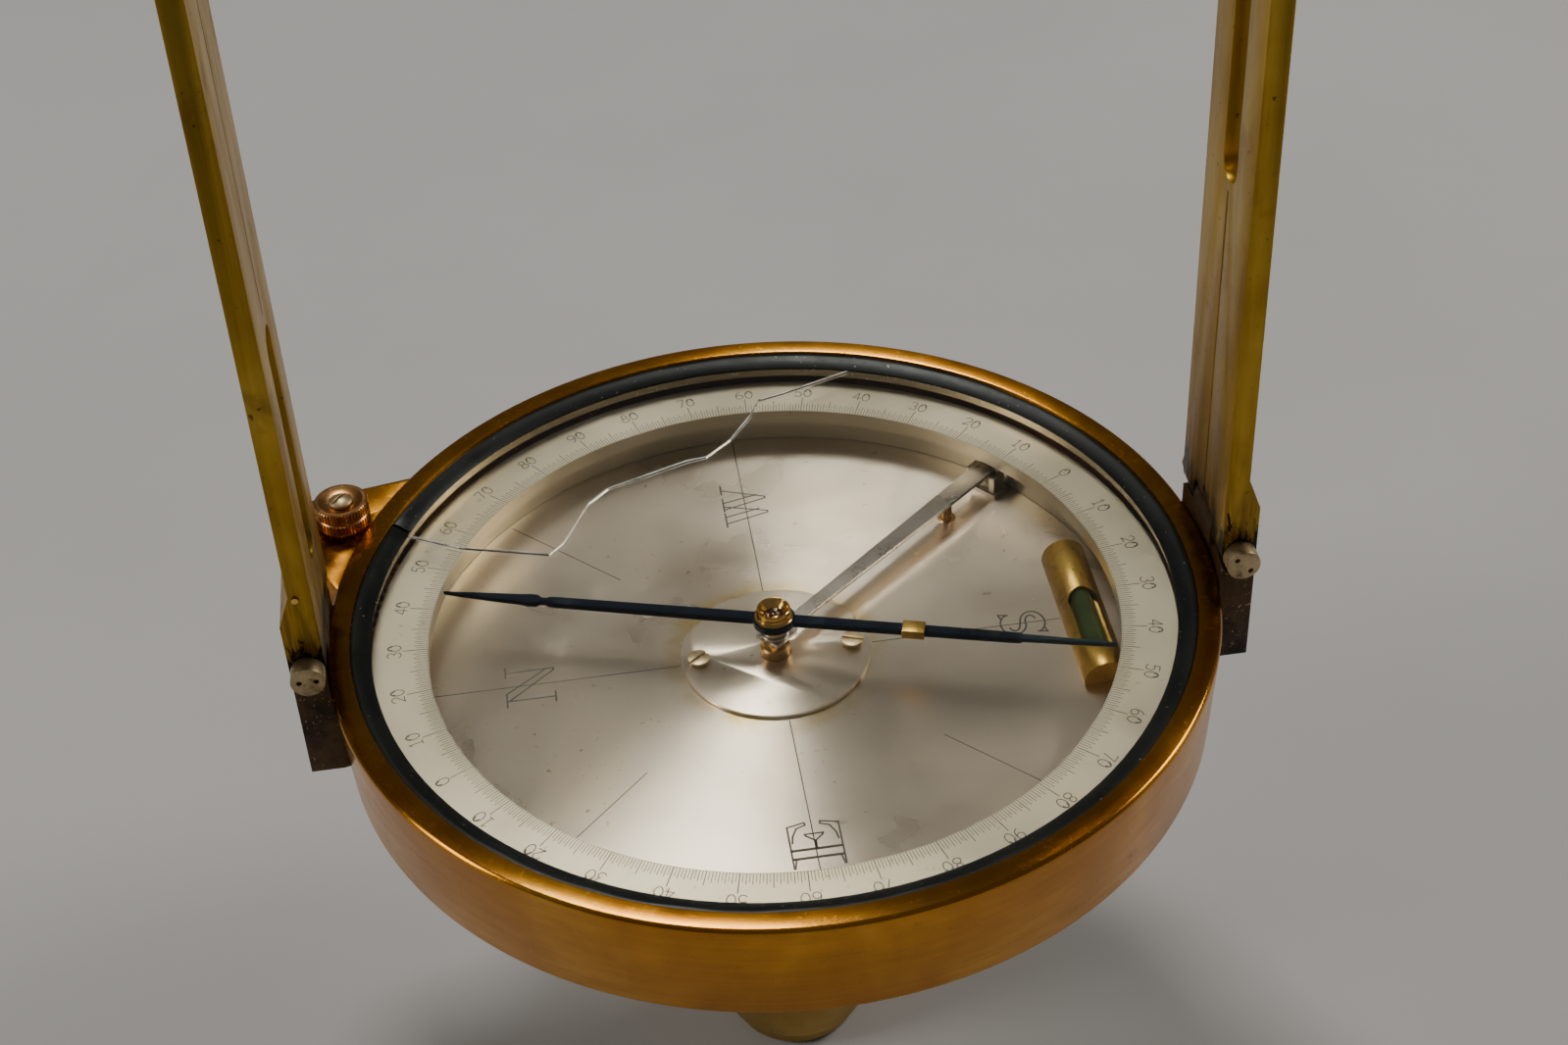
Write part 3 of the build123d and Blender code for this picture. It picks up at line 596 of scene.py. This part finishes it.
# ------------------------------------------------------------------ graduated circle
RING_ROT = 27.2                 # how far the circle stands from north, as seen on the object
R_IN = 63.8
st = Strokes(-6.0)
for k in range(720):
    a = radians(RING_ROT + k * 0.5)
    if k % 20 == 0:
        L, w = 4.4, 0.19
    elif k % 10 == 0:
        L, w = 3.2, 0.17
    elif k % 2 == 0:
        L, w = 2.4, 0.14
    else:
        L, w = 1.95, 0.12
    r0 = R_IN + 0.12
    st.line([(r0 * cos(a), r0 * sin(a)), ((r0 + L) * cos(a), (r0 + L) * sin(a))], w)
for rr, w in ((R_IN + 0.14, 0.06),):
    st.line([(rr * cos(radians(i)), rr * sin(radians(i))) for i in range(0, 361, 2)], w)
hgt = 2.5
for q in range(36):
    deg = q * 10
    d = deg % 180
    val = d if d <= 90 else 180 - d
    txt = str(val)
    phi = radians(RING_ROT + deg)
    up = (cos(phi), sin(phi))
    rt = (sin(phi), -cos(phi))
    wd = 0.62 * hgt
    tot = wd * len(txt) + 0.35 * (len(txt) - 1)
    rbase = R_IN + 4.9
    for i, ch in enumerate(txt):
        ox = -tot / 2 + i * (wd + 0.35)
        for pl in DIGITS[ch]:
            st.line([(up[0] * (rbase + py * hgt) + rt[0] * (ox + px * hgt), up[1] * (rbase + py * hgt) + rt[1] * (ox + px * hgt)) for px, py in pl], 0.2)
st.done("circle_graduations", "declination_circle")

# ------------------------------------------------------------------ dial marks (north up: letter tops face -X)
sd = Strokes(-15.2)


def dial_pt(right, up):
    return (-up, right)          # right is +Y, up is -X


def glyph(strokes, right0, up0, w=0.34):
    for pl in strokes:
        sd.line([dial_pt(right0 + x, up0 + y) for x, y in pl], w)


sd.line([(-66.0, 0), (-18.2, 0)], 0.2)
sd.line([(18.2, 0), (54.2, 0)], 0.2)
sd.line([(0, 18.2), (0, 66.0)], 0.22)
sd.line([(0, -18.2), (0, -66.0)], 0.22)
for a in (45, 135, 225, 315):
    c, s_ = cos(radians(a)), sin(radians(a))
    sd.line([(38 * c, 38 * s_), (66 * c, 66 * s_)], 0.2)
E = [[(0.0, 9.0), (9.9, 9.0), (10.6, 5.9), (10.0, 5.8), (9.4, 7.4), (7.6, 8.3), (6.0, 8.55)], [(0.0, 0.0), (9.9, 0.0), (10.6, 3.1), (10.0, 3.2), (9.4, 1.6), (7.6, 0.7), (6.0, 0.45)],
     [(2.1, 0.0), (2.1, 9.0)], [(2.35, 0.0), (2.35, 9.0)], [(4.1, 0.0), (4.1, 9.0)], [(4.35, 0.0), (4.35, 9.0)], [(0.0, 8.8), (2.1, 8.4)], [(0.0, 0.2), (2.1, 0.6)],
     [(4.35, 4.5), (6.2, 4.6), (7.4, 6.0), (7.8, 6.2), (7.8, 2.9), (7.4, 3.1), (6.2, 4.4), (4.35, 4.5)]]
glyph(E, -54.6, -4.7)
W = [[(0.0, 8.5), (4.4, 8.5)], [(1.1, 8.5), (3.4, 0.0), (3.9, 0.0)], [(3.2, 8.5), (4.9, 1.6)], [(3.9, 0.0), (6.6, 8.5)], [(5.0, 8.5), (9.2, 8.5)], [(5.6, 8.5), (8.0, 0.0), (8.5, 0.0)],
     [(7.7, 8.5), (9.4, 1.7)], [(8.5, 0.0), (11.9, 8.5)], [(10.6, 8.5), (13.4, 8.5)]]
glyph(W, 38.9, -4.2)
Nn = [[(0.0, 9.0), (3.6, 9.0), (9.4, 1.4)], [(1.6, 9.0), (1.6, 0.0)], [(0.2, 0.0), (3.0, 0.0)], [(1.8, 8.4), (8.9, 0.0), (9.4, 0.0), (9.4, 9.0)], [(8.0, 9.0), (10.8, 9.0)]]
glyph(Nn, -5.4, 41.5)
Sg = [arc(3.6, 6.0, 2.9, 2.4, 20, 265, 16) + arc(3.6, 2.55, 2.0, 1.1, 90, -60, 6), arc(3.6, 5.9, 1.9, 1.1, 120, 250, 6) + arc(3.6, 2.3, 3.0, 2.3, 80, -160, 16),
      [(6.2, 6.6), (6.6, 8.4), (5.2, 8.0)], [(0.9, 1.8), (0.5, 0.0), (1.9, 0.5)]]
glyph(Sg, -3.6, -51.2)
sd.done("dial_engraving", "box")

# ------------------------------------------------------------------ box and ring, freshly turned
lathe("box_wall_finished", [(80.75, -0.0), (80.95, -0.06), (81.32, -0.42), (81.48, -0.78), (81.46, -1.0), (80.42, -20.6), (80.3, -20.95), (79.9, -21.2), (78.9, -21.2), (78.9, -4.7), (74.3, -4.7), (74.3, -3.15),
                            (77.2, -3.15), (77.2, -0.32), (77.32, -0.1), (77.55, 0.0)], "lacquered_brass", "box", segs=360, replace=("box_wall",))

# knob: two milled bands with a groove between them
px_, py_ = 86.4 * cos(radians(154.6)), 86.4 * sin(radians(154.6))


def knob():
    prof = [(1.1, -0.4), (2.5, -0.4), (4.5, -0.02), (5.0, 0.12), (5.18, 0.32), (5.18, 2.22), (5.0, 2.36), (4.86, 2.5), (4.86, 2.7), (5.0, 2.84), (5.18, 2.98), (5.18, 4.82), (5.05, 5.02), (4.78, 5.18),
            (4.25, 5.2), (3.95, 5.05), (3.2, 4.6), (2.4, 4.5), (1.1, 4.5)]
    N = 52
    segs = N * 6
    verts, faces = [], []
    n = len(prof)
    for i in range(segs):
        a = 2 * pi * i / segs
        ph = (i % 6) / 6.0
        cut = 0.24 * max(0.0, cos(2 * pi * ph)) ** 0.8
        for r, z in prof:
            rr = r - (cut if (r > 5.1 and (0.3 < z < 2.3 or 2.9 < z < 4.9)) else 0.0)
            verts.append(((px_ + rr * cos(a)) * S, (py_ + rr * sin(a)) * S, (z + H) * S))
    for i in range(segs):
        j = (i + 1) % segs
        for k in range(n):
            l = (k + 1) % n
            faces.append((i * n + k, j * n + k, j * n + l, i * n + l))
    o = obj_from("declination_knob_milled", verts, faces, "copper_brass", "declination_pinion", True, ("declination_knob",))
    bm = bmesh.new(); bm.from_mesh(o.data); bmesh.ops.recalc_face_normals(bm, faces=bm.faces); bm.to_mesh(o.data); bm.free()
    o.data.set_sharp_from_angle(angle=radians(28))


knob()

# ------------------------------------------------------------------ broken edges of the glass: the crack is real, its near-white strips are painted highlight and a painted refraction line
CRACK = [(-73.5, 36.8), (-66.5, 32.9), (-56.7, 27.4), (-39.8, 22.1), (-36.8, 25.1), (-31.2, 36.1), (-27.1, 40.0),
         (-23.1, 41.4), (-11.0, 45.8), (-7.0, 46.3), (-1.6, 51.1), (3.4, 58.4), (5.6, 63.1), (11.3, 64.7), (25.2, 69.6), (33.0, 72.4)]
fr = Strokes(-1.95, depth=-0.004, lift=0.024)
rng = random.Random(7)
for (x0, y0), (x1, y1) in zip(CRACK, CRACK[1:]):
    L = sqrt((x1 - x0) ** 2 + (y1 - y0) ** 2)
    k = max(2, int(L / 1.1))
    nx, ny = -(y1 - y0) / L, (x1 - x0) / L
    prev = None
    for i in range(k + 1):
        u = i / k
        w_ = 0.17 + 0.13 * rng.random()
        q = (x0 + (x1 - x0) * u, y0 + (y1 - y0) * u, w_)
        if prev:
            fr.quad((prev[0] - nx * prev[2], prev[1] - ny * prev[2]), (q[0] - nx * q[2], q[1] - ny * q[2]), (q[0] + nx * 0.05, q[1] + ny * 0.05), (prev[0] + nx * 0.05, prev[1] + ny * 0.05))
        prev = q
fr.done("glass_crack_painted_highlight", "box", "crack_painted_highlight")
# thinner white line about 1 mm to the near side: painted refraction line of the slanted fracture face seen through
# the glass
f2 = Strokes(-1.95, depth=-0.004, lift=0.018)
SH = [(x * 0.994, y - 1.0 - 0.25 * sin(x * 0.3)) for x, y in CRACK]
for a_, b_ in zip(SH[1:-1], SH[2:-1]):
    f2.line([a_, b_], 0.11)
f2.done("glass_crack_painted_refraction_line", "box", "crack_painted_highlight")


# ------------------------------------------------------------------ needle
def needle():
    verts, faces = [], []

    def arm(deg, stations):
        ux_, uy_ = cos(radians(deg)), sin(radians(deg))
        k0 = len(verts)
        for r, hw, zb in stations:
            b = min(0.16, hw * 0.45)
            for off, z in ((-hw + b * 0.4, zb), (-hw, zb + 0.12), (-hw, -6.03), (-hw + b, -5.9), (hw - b, -5.9), (hw, -6.03), (hw, zb + 0.12), (hw - b * 0.4, zb)):
                verts.append(((r * ux_ - off * uy_) * S, (r * uy_ + off * ux_) * S, (z + H) * S))
        n = len(stations)
        for i in range(n - 1):
            for k in range(8):
                l = (k + 1) % 8
                faces.append((k0 + i * 8 + k, k0 + i * 8 + l, k0 + (i + 1) * 8 + l, k0 + (i + 1) * 8 + k))
        faces.append(tuple(k0 + k for k in range(8)))
        faces.append(tuple(k0 + (n - 1) * 8 + k for k in reversed(range(8))))

    arm(162.7, [(3.3, 1.20, -7.1), (20, 1.16, -7.1), (41.6, 1.05, -7.05), (42.6, 1.0, -7.0), (43.3, 0.62, -6.95), (44.3, 0.60, -6.95), (45.1, 1.28, -6.95), (46.6, 1.36, -6.95),
                (48.0, 1.15, -6.9), (55, 0.76, -6.8), (61.0, 0.36, -6.65), (62.7, 0.24, -6.55), (63.15, 0.10, -6.45)])
    arm(-17.3, [(3.3, 1.20, -7.1), (20, 1.16, -7.1), (43.8, 1.02, -7.05), (45.6, 1.0, -7.0), (46.0, 0.70, -6.9), (55, 0.56, -6.8), (61.5, 0.40, -6.65), (62.9, 0.25, -6.55), (63.15, 0.12, -6.45)])
    prof_ = [(2.62, -7.0), (2.7, -7.1), (3.9, -7.1), (4.0, -7.0), (4.0, -6.0), (3.9, -5.9), (2.7, -5.9), (2.62, -6.0)]
    k0, m_ = len(verts), len(prof_)
    for i in range(96):
        a = 2 * pi * i / 96
        for r, z in prof_:
            verts.append((r * cos(a) * S, r * sin(a) * S, (z + H) * S))
    for i in range(96):
        j = (i + 1) % 96
        for k in range(m_):
            l = (k + 1) % m_
            faces.append((k0 + i * m_ + k, k0 + j * m_ + k, k0 + j * m_ + l, k0 + i * m_ + l))
    o = obj_from("needle_blade_forged", verts, faces, "blued_steel", "needle", False, ("needle_blade",))
    bm = bmesh.new(); bm.from_mesh(o.data); bmesh.ops.recalc_face_normals(bm, faces=bm.faces); bm.to_mesh(o.data); bm.free()
    for p_ in o.data.polygons:
        p_.use_smooth = True
    o.data.set_sharp_from_angle(angle=radians(20))


needle()
mk = (41.0 * cos(radians(-17.3)), 41.0 * sin(radians(-17.3)))
lathe("needle_mark", [(0.40, -5.92), (0.52, -5.92), (0.52, -5.87), (0.40, -5.87)], "engraving", "needle", centre=mk, segs=32)

# ------------------------------------------------------------------ needle cap and lifting collar
lathe("needle_cap_turned", [(1.72, -8.7), (2.45, -8.7), (2.55, -8.6), (2.55, -7.7), (2.3, -7.6), (2.3, -7.35), (2.55, -7.25), (2.55, -5.9), (3.5, -5.9), (3.6, -5.8), (3.6, -5.62), (3.45, -5.5),
                            (3.2, -5.42), (3.02, -5.2), (2.98, -4.95), (3.08, -4.6), (3.15, -4.3), (3.15, -3.9), (3.08, -3.74), (2.95, -3.66), (2.82, -3.68), (2.72, -3.80), (2.55, -4.15), (2.2, -4.55), (1.72, -5.05)],
      "polished_brass", "needle", segs=96, replace=("needle_hub",))
lathe("lifting_collar_turned", [(1.35, -10.0), (2.6, -10.0), (2.7, -9.9), (2.7, -9.5), (2.6, -9.38), (2.28, -9.25), (2.15, -9.05), (2.15, -8.85), (2.08, -8.76), (1.4, -8.76), (1.35, -8.82)],
      "bright_steel", "lift_collar", segs=72, replace=("lifting_collar",))

# ------------------------------------------------------------------ finished copies of the other visible pieces
for n_, bv in (("north_sight", 0.3), ("south_sight", 0.3), ("north_bracket", 0.25), ("south_bracket", 0.25), ("pinion_housing", 0.5), ("spindle_socket", 0.3),
               ("socket_collar", 0.35), ("north_hinge_pin", 0.22), ("south_hinge_pin", 0.22), ("hub_disc", 0.1), ("retaining_ring", 0.12),
               ("level_tube", 0.22), ("needle_counterweight", 0.15), ("lifter_lever", 0.38), ("clamp_screw", 0.2), ("lifter_screw", 0.2), ("base_plate", 0.3),
               ("bracket_screws", 0.12), ("hinge_pin_nuts", 0.25), ("flange_screws", 0.15), ("knob_screw", 0.1), ("hub_screws", 0.1)):
    dress(n_, bv)

# ------------------------------------------------------------------ light, floor
floor_me = bpy.data.meshes.new("floor")
fv, ff = [], []
prof = [(-3.0, -0.0005)] + [(1.6, -0.0005)] + [(1.6 + 1.2 * sin(a * pi / 2 / 12), 1.2 - 1.2 * cos(a * pi / 2 / 12)) for a in range(1, 13)] + [(2.8, 4.0)]
for y_, z_ in prof:
    fv += [(-5, y_, z_), (5, y_, z_)]
for i in range(len(prof) - 1):
    ff.append((2 * i, 2 * i + 1, 2 * i + 3, 2 * i + 2))
floor_me.from_pydata(fv, [], ff)
floor = bpy.data.objects.new("floor", floor_me)
for p in floor_me.polygons:
    p.use_smooth = True
bpy.context.scene.collection.objects.link(floor)
floor_me.materials.append(M["floor_paint"])


def area(name, loc, target, size, power, color=(1, 1, 1), size_y=None):
    l = bpy.data.lights.new(name, "AREA")
    l.shape = "RECTANGLE"
    l.size = size
    l.size_y = size_y or size
    l.energy = power
    l.color = color
    o = bpy.data.objects.new(name, l)
    o.location = loc
    d = Vector(target) - Vector(loc)
    o.rotation_euler = d.to_track_quat("-Z", "Y").to_euler()
    bpy.context.scene.collection.objects.link(o)
    return o


area("back_top", (-0.12, 0.60, 1.50), (0, 0, 0.1), 0.36, 9.0, (1.0, 0.97, 0.92), 0.36)
area("right_side", (1.15, 0.25, 0.95), (0, 0, 0.1), 0.40, 7.0, (1.0, 0.95, 0.88), 0.55)
area("left_side", (-1.20, -0.10, 0.70), (0, 0, 0.1), 0.40, 5.0, (1.0, 0.95, 0.88), 0.55)
w = bpy.data.worlds.new("soft")
bpy.context.scene.world = w
w.use_nodes = True
w.node_tree.nodes["Background"].inputs[0].default_value = (0.85, 0.82, 0.79, 1)
w.node_tree.nodes["Background"].inputs[1].default_value = 0.10
